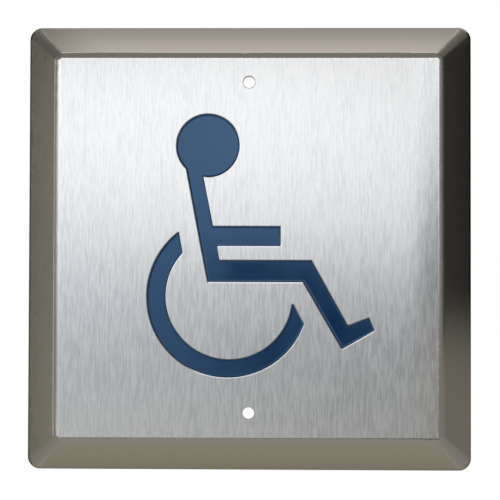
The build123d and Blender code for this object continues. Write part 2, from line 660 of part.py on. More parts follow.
# ---------------------------------------------------------------- the assembly
def nodes():
    """Every sub-part by name. Identical fasteners share a node as separate solids."""
    places = list(CORNERS.values())
    made = {
        "face_plate": push_plate(),
        "symbol_infill": symbol_infill(),
        "weld_studs": grouped(weld_stud(*p) for p in places),
        "stud_washers": grouped(washer(*p) for p in places),
        "stud_locknuts": grouped(locknut(*p) for p in places),
        "locknut_inserts": grouped(locknut_insert(*p) for p in places),
        "striker_boss": striker_boss(),
        "striker_jam_nut": striker_jam_nut(),
        "striker_screw": striker_screw(),
        "base_plate": base_plate(),
        "wall_gasket": wall_gasket(),
        "switch_bracket": switch_bracket(),
        "bracket_rivets": grouped(bracket_rivet(z) for z in rivet_places()),
        "switch_screws": grouped(switch_screw(*f) for f in fixings()),
        "switch_nuts": grouped(switch_nut(*f) for f in fixings()),
        "switch_case": switch_case(),
        "switch_cover": switch_cover(),
        "terminal_common": terminal_common(),
        "terminal_normally_open": terminal_normally_open(),
        "terminal_normally_closed": terminal_normally_closed(),
        "contact_blade": contact_blade(),
        "moving_contact": moving_contact(),
        "snap_spring": snap_spring(),
        "switch_plunger": switch_plunger(),
        "switch_lever": switch_lever(),
        "lever_pin": lever_pin(),
    }
    for name, place in CORNERS.items():
        made[f"guide_sleeve_{name}"] = guide_sleeve(*place)
        made[f"guide_bush_{name}"] = guide_bush(*place)
        made[f"return_spring_{name}"] = return_spring(*place)
    return made


os.makedirs("parts", exist_ok=True)
for name, shape in nodes().items():
    export_step(shape, f"parts/{name}.step")

print("lever rest angle, degrees", round(degrees(LEVER_REST), 4))
print("striker height", round(STRIKE_H, 4), "plunger height", round(PLUNGER_H, 4))
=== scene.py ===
"""Looks of the square push plate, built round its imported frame. All lengths are in metres."""
import bpy
import bmesh
import json
import math
from mathutils import Matrix, Vector

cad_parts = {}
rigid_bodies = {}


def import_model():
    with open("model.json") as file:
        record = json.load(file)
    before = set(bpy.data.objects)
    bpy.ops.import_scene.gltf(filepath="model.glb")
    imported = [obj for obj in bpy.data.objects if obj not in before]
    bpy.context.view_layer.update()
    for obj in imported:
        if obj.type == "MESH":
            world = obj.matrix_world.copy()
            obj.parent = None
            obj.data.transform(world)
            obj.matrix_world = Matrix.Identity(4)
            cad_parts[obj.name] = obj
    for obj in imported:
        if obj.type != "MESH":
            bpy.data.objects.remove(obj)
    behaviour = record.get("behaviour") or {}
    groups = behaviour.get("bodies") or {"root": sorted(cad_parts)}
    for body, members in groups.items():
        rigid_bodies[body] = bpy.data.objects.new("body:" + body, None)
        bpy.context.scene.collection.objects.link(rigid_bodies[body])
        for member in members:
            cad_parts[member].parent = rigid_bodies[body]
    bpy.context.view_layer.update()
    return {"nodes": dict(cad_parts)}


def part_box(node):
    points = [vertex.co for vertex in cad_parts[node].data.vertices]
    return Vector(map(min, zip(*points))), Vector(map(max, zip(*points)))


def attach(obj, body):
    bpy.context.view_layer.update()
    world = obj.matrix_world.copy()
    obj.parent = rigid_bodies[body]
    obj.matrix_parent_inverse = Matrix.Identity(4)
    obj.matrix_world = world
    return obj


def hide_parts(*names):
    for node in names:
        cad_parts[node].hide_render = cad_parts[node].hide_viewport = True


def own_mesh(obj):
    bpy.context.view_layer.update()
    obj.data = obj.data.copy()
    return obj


for leftover in list(bpy.data.objects):
    bpy.data.objects.remove(leftover)
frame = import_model()
NODES = frame["nodes"]
MM = 0.001

# ---- camera: distance from the plate's face, focal length and small turns of the photograph ----
FACE_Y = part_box("face_plate")[0].y
CAMERA_OFFSET = Vector((-0.327, 321.9, 0.6825)) * MM
CAMERA_YAW = math.radians(-0.996)
CAMERA_PITCH = math.radians(-1.142)
CAMERA_ROLL = math.radians(0.156)
CAMERA_LENS, CAMERA_SENSOR = 92.15, 36    # millimetres


def added(name, data):
    """A new object in the scene."""
    made = bpy.data.objects.new(name, data)
    bpy.context.scene.collection.objects.link(made)
    return made


def make_camera():
    data = bpy.data.cameras.new("camera")
    data.lens = CAMERA_LENS
    data.sensor_width = CAMERA_SENSOR
    data.clip_start, data.clip_end = 0.01, 50
    camera = added("camera", data)
    turn = (Matrix.Rotation(CAMERA_ROLL, 3, "Y")
            @ Matrix.Rotation(CAMERA_PITCH, 3, "X")
            @ Matrix.Rotation(CAMERA_YAW, 3, "Z"))
    back = turn.transposed()
    place = -(back @ CAMERA_OFFSET) + Vector((0, FACE_Y, 0))
    axes = Matrix((back @ Vector((1, 0, 0)), back @ Vector((0, 0, 1)), -(back @ Vector((0, 1, 0)))))
    camera.matrix_world = Matrix.Translation(place) @ axes.transposed().to_4x4()
    bpy.context.scene.camera = camera


# ---------------------------------------------------------------- node materials
class Nodes:
    """Short ways to add nodes to a tree, which are laid out by these coordinates."""

    def __init__(self, tree, coordinates):
        self.tree = tree
        self.where = self.node("ShaderNodeTexCoord").outputs[coordinates]

    def node(self, kind, inputs=None, **attributes):
        made = self.tree.nodes.new(kind)
        for key, value in attributes.items():
            setattr(made, key, value)
        for key, value in (inputs or {}).items():
            self.feed(made.inputs[key], value)
        return made

    def feed(self, socket, value):
        if isinstance(value, bpy.types.NodeSocket):
            self.tree.links.new(value, socket)
        else:
            socket.default_value = value

    def math(self, operation, a, b=0.0, c=0.0):
        return self.node("ShaderNodeMath", {0: a, 1: b, 2: c}, operation=operation).outputs[0]

    def product(self, *factors):
        total = factors[0]
        for factor in factors[1:]:
            total = self.math("MULTIPLY", total, factor)
        return total

    def stretched(self, scale):
        return self.node("ShaderNodeMapping", {"Vector": self.where, "Scale": scale}).outputs[0]

    def noise(self, scale, detail=3.0, roughness=0.55, distortion=0.0):
        """Noise between 0 and 1 with this many cells a metre, given once or for each axis."""
        size = (scale,) * 3 if isinstance(scale, (int, float)) else scale
        return self.node("ShaderNodeTexNoise", {
            "Vector": self.stretched(size), "Scale": 1.0, "Detail": detail,
            "Roughness": roughness, "Distortion": distortion,
        }).outputs["Fac"]

    def cells(self, scale):
        """Distance from the nearest of this many points a metre."""
        return self.node("ShaderNodeTexVoronoi", {
            "Vector": self.stretched((scale,) * 3), "Scale": 1.0,
        }).outputs["Distance"]

    def ramp(self, value, low, high, to_low=0.0, to_high=1.0, smooth=False):
        """Takes the value from between low and high to between to_low and to_high."""
        kind = "SMOOTHSTEP" if smooth else "LINEAR"
        return self.node("ShaderNodeMapRange", {
            "Value": value, "From Min": low, "From Max": high, "To Min": to_low, "To Max": to_high,
        }, interpolation_type=kind).outputs[0]

    def mix(self, share, a, b):
        """From the colour a to the colour b."""
        made = self.node("ShaderNodeMix", data_type="RGBA")
        self.feed(made.inputs[0], share)
        for index, value in ((6, a), (7, b)):
            self.feed(made.inputs[index], (*value, 1.0) if isinstance(value, tuple) else value)
        return made.outputs[2]

    def blend(self, share, a, b):
        """From the number a to the number b."""
        made = self.node("ShaderNodeMix", data_type="FLOAT")
        for index, value in ((0, share), (2, a), (3, b)):
            self.feed(made.inputs[index], value)
        return made.outputs[0]

    def axes(self):
        return self.node("ShaderNodeSeparateXYZ", {0: self.where}).outputs

    def smooth(self, value, low, high):
        return self.ramp(value, low, high, smooth=True)

    def bump(self, height, distance, strength, normal=None):
        inputs = {"Height": height, "Distance": distance, "Strength": strength}
        if normal is not None:
            inputs["Normal"] = normal
        return self.node("ShaderNodeBump", inputs).outputs[0]


class Material(Nodes):
    """A new material, laid out by place on the object."""

    def __init__(self, name):
        self.material = bpy.data.materials.new(name)
        self.material.use_nodes = True
        super().__init__(self.material.node_tree, "Object")
        self.shader = self.tree.nodes["Principled BSDF"]

    def set(self, socket, value):
        self.feed(self.shader.inputs[socket], value)


class Shader(Material):
    """A material with one Principled shader."""

    def __init__(self, name, **settings):
        super().__init__(name)
        for socket, value in settings.items():
            self.set(socket.replace("_", " "), value)


class Shining(Material):
    """A material that only shines."""

    def __init__(self, name):
        super().__init__(name)
        self.tree.nodes.remove(self.shader)
        self.shader = self.node("ShaderNodeEmission")
        self.feed(self.tree.nodes["Material Output"].inputs["Surface"], self.shader.outputs[0])


def paint(shader, *names):
    """Gives the material to CAD nodes."""
    for name in names:
        slots = NODES[name].data.materials
        slots.clear()
        slots.append(shader.material)


def scaled(colour, factor):
    """The colour made lighter or darker, and no brighter than 1."""
    return tuple(min(1.0, c * factor) for c in colour)


# ---- stainless face plate: brushed front, satin bevels, duller rim ----
BRUSHED_HALF = 47.68 * MM    # half the width of the brushed square
RAGGED = 0.5 * MM    # how far its edge wanders
ENGRAVED_HALF = 36 * MM    # the engraving lies within this
ENGRAVED_DEEP = 0.9 * MM    # and no deeper than this
RIM_HALF = 57.1 * MM    # the rim's outer wall lies beyond this
STREAKS, FINE_STREAKS, BROAD_STREAKS = (2300, 300, 230), (4600, 300, 380), (330, 60, 30)
BRIGHT_STEEL, SATIN_STEEL, CUT_STEEL = (0.78, 0.78, 0.775), (0.70, 0.685, 0.66), (0.95,) * 3
CUT_ROUGH, BURR_ROUGH, RIM_ROUGH = 0.55, 0.3, 0.5
BURR_LEAN = 8.0    # how strongly the burr's normals turn to the front
RIGHT_LEAN_FROM, RIGHT_LEAN = 39 * MM, 0.05    # where the right side's lean starts, and how strong
FRONT_FROM, FRONT_TO = 0.04 * MM, 0.12 * MM    # depths where the brushed front fades out
SOFT_EDGE = 0.1 * MM    # over which one finish turns into the next


def stainless_face():
    s = Shader("stainless_face", Metallic=1.0, Anisotropic=0.9)
    x, y, z = s.axes()
    streaks = s.noise(STREAKS, 2, 0.5)
    fine = s.noise(FINE_STREAKS, 2, 0.5)
    broad = s.noise(BROAD_STREAKS, 2, 0.5)
    # The brushing stops in a ragged line where the bend starts.
    wander = s.noise((1800, 10, 1800), 2)
    ragged = s.math("MULTIPLY_ADD", wander, RAGGED, BRUSHED_HALF - RAGGED / 2)
    edge = s.math("MAXIMUM", s.math("ABSOLUTE", x), s.math("ABSOLUTE", z))
    inside = s.ramp(s.math("SUBTRACT", ragged, edge), -0.06 * MM, 0.06 * MM)
    front = s.ramp(y, FACE_Y + FRONT_TO, FACE_Y + FRONT_FROM)
    brushed = s.product(inside, front)
    grain = s.math("MULTIPLY_ADD", fine, 0.35, s.product(streaks, 0.65))
    dark, light = scaled(BRIGHT_STEEL, 0.79), scaled(BRIGHT_STEEL, 1.10)
    grained = s.mix(s.ramp(grain, 0.38, 0.62), dark, light)
    grained = s.mix(s.ramp(broad, 0.35, 0.65, 0.0, 0.3), grained, scaled(BRIGHT_STEEL, 1.03))
    satin = s.mix(s.noise(900), scaled(SATIN_STEEL, 0.97), scaled(SATIN_STEEL, 1.02))
    # The cutter left the walls and the chamfer of the engraving bright and rough. A burnished
    # burr catches the light on the edges below and to the right of the figure.
    normal = s.node("ShaderNodeNewGeometry").outputs["Normal"]
    toward = s.node("ShaderNodeSeparateXYZ", {0: normal}).outputs
    shallow = s.ramp(y, FACE_Y + ENGRAVED_DEEP + SOFT_EDGE, FACE_Y + ENGRAVED_DEEP)
    cut = s.product(s.ramp(edge, ENGRAVED_HALF + SOFT_EDGE, ENGRAVED_HALF), shallow)
    burr = s.product(cut, s.ramp(s.math("SUBTRACT", toward[2], toward[0]), 0.2, 0.6))
    s.set("Base Color", s.mix(brushed, s.mix(cut, satin, CUT_STEEL), grained))
    rough = s.blend(cut, s.ramp(s.noise(700), 0.3, 0.7, 0.15, 0.2), CUT_ROUGH)
    rough = s.blend(burr, rough, BURR_ROUGH)
    rough = s.blend(s.ramp(edge, RIM_HALF - SOFT_EDGE, RIM_HALF), rough, RIM_ROUGH)
    s.set("Roughness", s.blend(brushed, rough, s.ramp(grain, 0.36, 0.64, 0.28, 0.34)))
    s.set("Tangent", s.node("ShaderNodeCombineXYZ", {0: 1.0}).outputs[0])
    # The sheet leans down a little where its right side was bent.
    lean = s.product(s.smooth(x, RIGHT_LEAN_FROM, BRUSHED_HALF), brushed, -RIGHT_LEAN)
    turn = s.node("ShaderNodeCombineXYZ", {1: s.product(burr, -BURR_LEAN), 2: lean}).outputs[0]
    leaning = s.node("ShaderNodeVectorMath", {0: normal, 1: turn}, operation="ADD").outputs[0]
    leaning = s.node("ShaderNodeVectorMath", {0: leaning}, operation="NORMALIZE").outputs[0]
    s.set("Normal", s.bump(s.product(grain, brushed), 0.003 * MM, 0.3, leaning))
    paint(s, "face_plate")


def blue_enamel():
    s = Shader("blue_enamel", IOR=1.82, Specular_Tint=(0.38, 0.68, 1.0, 1.0))
    mottled = s.noise(900, 4, 0.6)
    cloudy = s.noise(120, 2)
    deep, pale = (0.006, 0.042, 0.14), (0.009, 0.053, 0.17)
    s.set("Base Color", s.mix(mottled, deep, pale))
    s.set("Roughness", s.ramp(cloudy, 0.3, 0.7, 0.1, 0.16))
    s.set("Normal", s.bump(s.noise(1500, 3, 0.5), 0.01 * MM, 0.35))
    return s


def plated(name, steel, dull, *nodes):
    """Plated metal: cloudy plating, fine grain and a few dull spots."""
    s = Shader(name, Metallic=1.0)
    clouds = s.noise(160, 4, 0.6)
    fine = s.noise(1500, 3)
    spots = s.ramp(s.noise(420, 5, 0.65), 0.58, 0.7)
    colour = s.mix(s.ramp(clouds, 0.35, 0.65), scaled(steel, 0.93), scaled(steel, 1.04))
    s.set("Base Color", s.mix(s.product(spots, 0.5), colour, dull))
    rough = s.ramp(clouds, 0.3, 0.7, 0.22, 0.36)
    s.set("Roughness", s.math("ADD", rough, s.product(spots, 0.12)))
    s.set("Normal", s.bump(fine, 0.01 * MM, 0.35))
    paint(s, *nodes)


TURNED_STEEL = (0.68, 0.68, 0.67)


def turned(name, *nodes):
    """Turned steel, with lathe lines square to its axis, which is along Y."""
    s = Shader(name, Metallic=1.0)
    lines = s.noise((250, 9000, 250), 3, 0.6)
    clouds = s.noise(300, 3)
    dark, light = scaled(TURNED_STEEL, 0.9), scaled(TURNED_STEEL, 1.05)
    s.set("Base Color", s.mix(s.ramp(clouds, 0.3, 0.7), dark, light))
    s.set("Roughness", s.ramp(lines, 0.3, 0.7, 0.18, 0.34))
    s.set("Normal", s.bump(lines, 0.006 * MM, 0.6))
    paint(s, *nodes)
    return s


def moulded(name, colour, light, *nodes, rough=(0.38, 0.55), through=0.0):
    """Moulded plastic: fine spark-eroded grain, faint flow marks and rubbed spots."""
    s = Shader(name, Subsurface_Weight=through, Subsurface_Scale=0.002)
    flow = s.noise((140, 140, 60), 3, 0.5, 0.6)
    fine = s.noise(3200, 3, 0.6)
    s.set("Base Color", s.mix(s.ramp(flow, 0.3, 0.7), colour, light))
    s.set("Roughness", s.ramp(s.noise(500, 4), 0.3, 0.7, *rough))
    s.set("Normal", s.bump(fine, 0.01 * MM, 0.5))
    paint(s, *nodes)


def strip_metal(name, metal, stain, along, *nodes):
    """Rolled strip or drawn wire: lines along this axis, given by number, and light tarnish."""
    s = Shader(name, Metallic=1.0)
    scale = [2500, 2500, 2500]
    scale[along] = 80
    lines = s.noise(tuple(scale), 3, 0.6)
    tarnish = s.ramp(s.noise(350, 5, 0.6), 0.48, 0.68)
    colour = s.mix(s.ramp(lines, 0.3, 0.7), scaled(metal, 0.9), scaled(metal, 1.06))
    s.set("Base Color", s.mix(s.product(tarnish, 0.6), colour, stain))
    rough = s.ramp(lines, 0.3, 0.7, 0.2, 0.32)
    s.set("Roughness", s.math("ADD", rough, s.product(tarnish, 0.12)))
    s.set("Normal", s.bump(lines, 0.005 * MM, 0.6))
    paint(s, *nodes)
    return s


def foam():
    """Closed-cell foam: small skinned cells."""
    s = Shader("foam", Sheen_Weight=0.25, Sheen_Roughness=0.6)
    pores = s.cells(2600)
    large = s.cells(900)
    dark, light = (0.012, 0.012, 0.013), (0.045, 0.045, 0.048)
    s.set("Base Color", s.mix(s.ramp(pores, 0.0, 0.45), dark, light))
    s.set("Roughness", s.ramp(s.noise(600, 3), 0.3, 0.7, 0.75, 0.95))
    lumps = s.math("ADD", s.product(pores, 0.6), s.product(large, 0.4))
    s.set("Normal", s.bump(lumps, 0.12 * MM, 0.6))
    return s


# ---------------------------------------------------------------- pieces
def piece(name, mesh, shader, body, slot, *nodes):
    """A visual piece that stands for CAD nodes."""
    mesh.materials.append(shader.material)
    made = added(name, mesh)
    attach(made, body)
    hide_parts(*nodes)
    return made


def finished(bm, name):
    """The mesh that was built, with its faces turned outward."""
    bmesh.ops.recalc_face_normals(bm, faces=bm.faces)
    mesh = bpy.data.meshes.new(name)
    bm.to_mesh(mesh)
    bm.free()
    return mesh


CORNERS = ("top_left", "top_right", "bottom_left", "bottom_right")
WIRE_R, COIL_R = 0.4 * MM, 5.2 * MM
CLOSED_PITCH = 2 * WIRE_R * 1.04
ACTIVE_TURNS, CLOSED_TURNS = 4.5, 1.0
EASING = 0.35    # how softly the closed turns open into the active ones


def coil_mesh(name, centre, low, high):
    """Compression spring with closed, ground ends. Low and high are distances from the wall."""
    steps, ring = 40, 14
    turns = ACTIVE_TURNS + 2 * CLOSED_TURNS
    lift = high - low - 2 * CLOSED_PITCH * CLOSED_TURNS - WIRE_R
    count = int(turns * steps)
    bm = bmesh.new()
    rows = []
    for i in range(count + 1):
        turn = i / steps
        share = min(max(turn - CLOSED_TURNS, 0.0), ACTIVE_TURNS) / ACTIVE_TURNS
        closed = min(turn, CLOSED_TURNS) + max(turn - CLOSED_TURNS - ACTIVE_TURNS, 0.0)
        eased = share - math.sin(2 * math.pi * share) / (2 * math.pi) * EASING
        height = low + WIRE_R * 0.5 + CLOSED_PITCH * closed + lift * eased
        angle = 2 * math.pi * turn
        out = Vector((math.cos(angle), 0, math.sin(angle)))
        middle = Vector((centre.x, -height, centre.z)) + out * COIL_R
        row = []
        for k in range(ring):
            a = 2 * math.pi * k / ring
            point = middle + out * (WIRE_R * math.cos(a)) + Vector((0, -WIRE_R * math.sin(a), 0))
            point.y = -min(max(-point.y, low), high)
            row.append(bm.verts.new(point))
        rows.append(row)
    for row, after in zip(rows, rows[1:]):
        for k in range(ring):
            n = (k + 1) % ring
            bm.faces.new((row[k], row[n], after[n], after[k]))
    bm.faces.new(reversed(rows[0]))
    bm.faces.new(rows[-1])
    mesh = finished(bm, name)
    mesh.shade_smooth()
    return mesh


def return_springs():
    wire = strip_metal("spring_wire", (0.62, 0.62, 0.63), (0.42, 0.4, 0.37), 1)
    for corner in CORNERS:
        node = "return_spring_" + corner
        lo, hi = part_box(node)
        mesh = coil_mesh("coil_" + corner, (lo + hi) / 2, -hi.y, -lo.y)
        made = piece("coil_" + corner, mesh, wire, "base", "spring_wire", node)
        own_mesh(made)


STUD_R, STUD_FLANGE_R, STUD_FLANGE = 2.0 * MM, 2.75 * MM, 0.8 * MM
THREAD_PITCH, THREAD_DEPTH, THREAD_LENGTH = 0.7 * MM, 0.3 * MM, 5.6 * MM
THREAD_SHARPNESS = 1.35    # above 1, the bottom of the groove is flat
STUD_CHAMFER = 0.35 * MM


def threaded_studs():
    """The studs, threaded at their rear ends and welded to the plate by a small flange."""
    lo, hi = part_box("weld_studs")
    around, per_turn = 36, 10
    bm = bmesh.new()
    for corner in CORNERS:
        near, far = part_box("guide_sleeve_" + corner)
        middle = (near + far) / 2

        def row(depth, radius_at):
            angles = [2 * math.pi * k / around for k in range(around)]
            return [bm.verts.new((middle.x + radius_at(a) * math.cos(a), depth,
                                  middle.z + radius_at(a) * math.sin(a))) for a in angles]

        def thread(past, a):
            turn = (past / THREAD_PITCH - a / (2 * math.pi)) % 1.0
            cut = min(1.0, THREAD_SHARPNESS * (1 - abs(2 * turn - 1)))
            lead_in = min(STUD_R, STUD_R - STUD_CHAMFER + past)
            fade = min(1.0, (THREAD_LENGTH - past) / THREAD_PITCH)
            return min(lead_in, STUD_R - THREAD_DEPTH * cut * max(fade, 0.0))

        count = round(THREAD_LENGTH / THREAD_PITCH * per_turn)
        rows = []
        for k in range(count + 1):
            past = THREAD_LENGTH * k / count
            rows.append(row(hi.y - past, lambda a: thread(past, a)))
        for depth, radius in ((lo.y + STUD_FLANGE, STUD_R), (lo.y + STUD_FLANGE, STUD_FLANGE_R),
                              (lo.y, STUD_FLANGE_R)):
            rows.append(row(depth, lambda a: radius))
        for row_a, row_b in zip(rows, rows[1:]):
            for k in range(around):
                bm.faces.new((row_a[k - 1], row_a[k], row_b[k], row_b[k - 1]))
        bm.faces.new(rows[0])
        bm.faces.new(reversed(rows[-1]))
    steel = turned("stud_steel")
    piece("studs", finished(bm, "studs"), steel, "push_plate", "turned_steel", "weld_studs")


def outline_mesh(name, loops, low, high, soft):
    """A flat shape with rounded edges, given as loops of (x, z). Low and high are distances
    from the wall, and soft is the edges' radius."""
    curve = bpy.data.curves.new(name, "CURVE")
    curve.dimensions = "2D"
    curve.fill_mode = "BOTH"
    curve.extrude = (high - low) / 2 - soft
    curve.bevel_depth = soft
    curve.bevel_resolution = 3
    curve.offset = -soft
    for loop in loops:
        spline = curve.splines.new("POLY")
        spline.points.add(len(loop) - 1)
        for point, (x, z) in zip(spline.points, loop):
            point.co = (x, z, 0, 1)
        spline.use_cyclic_u = True
    holder = bpy.data.objects.new(name, curve)
    mesh = bpy.data.meshes.new_from_object(holder)
    bpy.data.objects.remove(holder)
    upright = Matrix.Rotation(math.radians(90), 4, "X")
    mesh.transform(Matrix.Translation((0, -(low + high) / 2, 0)) @ upright)
    return mesh


def rounded(width, height, radius, z=0.0, turn=1):
    """A rounded rectangle round (0, z), anticlockwise, or clockwise for a hole: turn is -1."""
    points, steps = [], 8
    for side_x, side_z, start in ((1, 1, 0), (-1, 1, 90), (-1, -1, 180), (1, -1, 270)):
        for k in range(steps + 1):
            a = math.radians(start + 90 * k / steps)
            points.append((side_x * (width / 2 - radius) + radius * math.cos(a),
                           z + side_z * (height / 2 - radius) + radius * math.sin(a)))
    return points[::turn]


GASKET_CORNER, GASKET_SOFT = 5 * MM, 0.55 * MM
GASKET_BACK, GASKET_FRONT = 0.02 * MM, 2.98 * MM    # distances from the wall
WINDOW_WIDTH, WINDOW_HEIGHT, WINDOW_CORNER = 60 * MM, 70 * MM, 4 * MM
SLOT_WIDTH, SLOT_HEIGHT, SLOT_CORNER, SLOT_Z = 6 * MM, 10 * MM, 2.99 * MM, 41.67 * MM


def wall_gasket():
    """The foam, with its window and its two screw slots."""
    lo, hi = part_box("wall_gasket")
    size = hi.x - lo.x
    loops = [rounded(size, size, GASKET_CORNER),
             rounded(WINDOW_WIDTH, WINDOW_HEIGHT, WINDOW_CORNER, turn=-1)]
    for z in (SLOT_Z, -SLOT_Z):
        loops.append(rounded(SLOT_WIDTH, SLOT_HEIGHT, SLOT_CORNER, z, turn=-1))
    mesh = outline_mesh("gasket", loops, GASKET_BACK, GASKET_FRONT, GASKET_SOFT)
    made = piece("gasket", mesh, foam(), "base", "foam", "wall_gasket")


MENISCUS = 0.2 * MM    # how far the enamel climbs the walls of the engraving
MENISCUS_ABOVE = 0.08 * MM    # the part of it above the CAD surface
MENISCUS_WIDTH = 0.5 * MM
MENISCUS_SHARES = (0.12, 0.26, 0.43, 0.65, 1.0, 1.1)    # of that width, where it has a ring
SHORT_EDGE = 0.12 * MM    # a row of shorter edges is a rounded corner
SHARP_TURN = 0.1    # the sine of the least turn that is drawn as a corner


def outlines(name):
    """The outlines of a CAD node's front, as loops of (x, z)."""
    bm = bmesh.new()
    bm.from_mesh(NODES[name].data)
    bmesh.ops.remove_doubles(bm, verts=bm.verts, dist=1e-7)
    bm.normal_update()
    front = [f for f in bm.faces if f.normal.y < -0.9]
    front = bmesh.ops.dissolve_faces(bm, faces=front)["region"]
    loops = [[Vector((v.co.x, v.co.z)) for v in face.verts] for face in front]
    bm.free()
    return loops


def squared(loop):
    """The loop with each rounded corner drawn as one point, where its two sides meet."""
    count = len(loop)
    short = [(loop[(i + 1) % count] - loop[i]).length < SHORT_EDGE for i in range(count)]
    first = next(i for i in range(count) if not short[i - 1])
    points, i = [], first
    while i < first + count:
        last = i
        while short[last % count] and last < first + count - 1:
            last += 1
        a, b = loop[i % count], loop[last % count]
        along, after = a - loop[i - 1], loop[(last + 1) % count] - b
        turn = along.cross(after)
        if last > i and abs(turn) > SHARP_TURN * along.length * after.length:
            points.append(a + along * ((b - a).cross(after) / turn))
        else:
            points.append((a + b) / 2)
        i = last + 1
    return points


def inset(loop, distance):
    """The loop moved in by this much; the loop runs anticlockwise."""
    moved = []
    for i, point in enumerate(loop):
        before = (point - loop[i - 1]).normalized()
        after = (loop[(i + 1) % len(loop)] - point).normalized()
        side = Vector((-before.y - after.y, before.x + after.x))
        moved.append(point + side * (distance / (1 + before.dot(after))))
    return moved


def enamel():
    """The infill, hollow in the middle and climbing the walls all round."""
    lo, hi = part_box("symbol_infill")
    bm = bmesh.new()
    for loop in outlines("symbol_infill"):
        loop = squared(loop)
        if sum(a.cross(b) for a, b in zip(loop, loop[1:] + loop[:1])) < 0:
            loop.reverse()
        rings = [(0.0, hi.y), (0.0, lo.y - MENISCUS_ABOVE)]
        for share in MENISCUS_SHARES:
            climb = MENISCUS * (1 - min(share, 1.0)) ** 2
            rings.append((share * MENISCUS_WIDTH, lo.y - MENISCUS_ABOVE + MENISCUS - climb))
        rows = [[bm.verts.new((p.x, y, p.y)) for p in inset(loop, distance)]
                for distance, y in rings]
        for k, (row, inner) in enumerate(zip(rows, rows[1:])):
            for i in range(len(row)):
                face = bm.faces.new((row[i], row[i - 1], inner[i - 1], inner[i]))
                face.smooth = k > 0
        bm.faces.new(reversed(rows[0]))
        middle = bm.faces.new(rows[-1])
        middle.smooth = True
        middle.normal_update()
        bmesh.ops.triangulate(bm, faces=[middle])
        for i, vert in enumerate(rows[1]):
            bm.edges.get((vert, rows[1][i - 1])).smooth = False
    mesh = finished(bm, "enamel")
    piece("enamel", mesh, blue_enamel(), "push_plate", "blue_enamel", "symbol_infill")


# ---------------------------------------------------------------- studio
def staged(name, mesh):
    """An object of the studio, which isn't part of the model."""
    made = added(name, mesh)
    return made


def glow(name, colour_at, corners, cells):
    """A card that shines with colour_at(place), over the patch between four corners."""
    a, b, c, d = (Vector(p) for p in corners)
    across, up = cells
    verts, tones = [], []
    for j in range(up + 1):
        for i in range(across + 1):
            u, v = i / across, j / up
            p = a.lerp(b, u).lerp(d.lerp(c, u), v)
            verts.append(p)
            tone = colour_at(p)
            tones.append(tone if isinstance(tone, tuple) else (tone, tone, tone))
    faces = []
    for j in range(up):
        for i in range(across):
            k = j * (across + 1) + i
            faces.append((k, k + 1, k + across + 2, k + across + 1))
    mesh = bpy.data.meshes.new(name)
    mesh.from_pydata(verts, [], faces)
    layer = mesh.attributes.new("tone", "FLOAT_COLOR", "POINT")
    for slot, tone in zip(layer.data, tones):
        slot.color = (*tone, 1.0)
    s = Shining(name)
    s.set("Color", s.node("ShaderNodeAttribute", attribute_name="tone").outputs["Color"])
    mesh.materials.append(s.material)
    staged(name, mesh).visible_camera = False


def step(value, low, high, to_low, to_high):
    """to_low below low and to_high above high, with a smooth step between them."""
    t = min(max((value - low) / (high - low), 0.0), 1.0)
    return to_low + (to_high - to_low) * t * t * (3 - 2 * t)


def tint(value, colour):
    return tuple(value * c for c in colour)


WARM = (1.08, 1.0, 0.92)
TAN = (1.09, 1.0, 0.8)
OLIVE = (1.07, 1.02, 0.84)
MOSS = (1.07, 1.01, 0.76)
COOL = (0.985, 1.0, 1.025)
BLUISH = (0.94, 1.0, 1.08)
GREYISH = (1.0, 1.0, 0.92)


def wall_cards():
    """What the bevels mirror: four patches in the plane of the wall, round the plate."""
    near, far = 0.06, 0.6    # half the widths of the square hole and of the whole

    def top(p):
        rising = step(p.z, 0.105, 0.155, 0.36, 0.70)
        ends = step(-p.x, 0.048, 0.07, 1.0, 0.5) * step(p.x, 0.056, 0.08, 1.0, 0.7)
        falling = step(p.z, 0.22, 0.34, 1.0, 0.3)
        return tint(rising * falling * ends, WARM)

    def left(p):
        level = step(-p.x, 0.105, 0.15, 0.06, 0.178) * step(-p.z, 0.0, 0.05, 1.0, 1.2)
        return tint(level * step(p.z, 0.052, 0.07, 1.0, 0.5), MOSS)

    def right(p):
        dark = step(p.x, 0.118, 0.15, 0.0, 0.035)
        return tint(step(p.z, -0.036, -0.012, 0.17, dark), OLIVE)

    def bottom(p):
        return tint(step(-p.z, 0.105, 0.16, 0.225, 0.30), TAN)

    # Each lies along one side of the square, between two corners that are given by their signs.
    for name, tone, (ax, az), (bx, bz), cells in (
        ("card_top", top, (-1, 1), (1, 1), (80, 54)),
        ("card_bottom", bottom, (1, -1), (-1, -1), (4, 54)),
        ("card_left", left, (-1, -1), (-1, 1), (60, 54)),
        ("card_right", right, (1, 1), (1, -1), (60, 12)),
    ):
        corners = ((ax * near, 0, az * near), (bx * near, 0, bz * near),
                   (bx * far, 0, bz * far), (ax * far, 0, az * far))
        glow(name, tone, corners, cells)


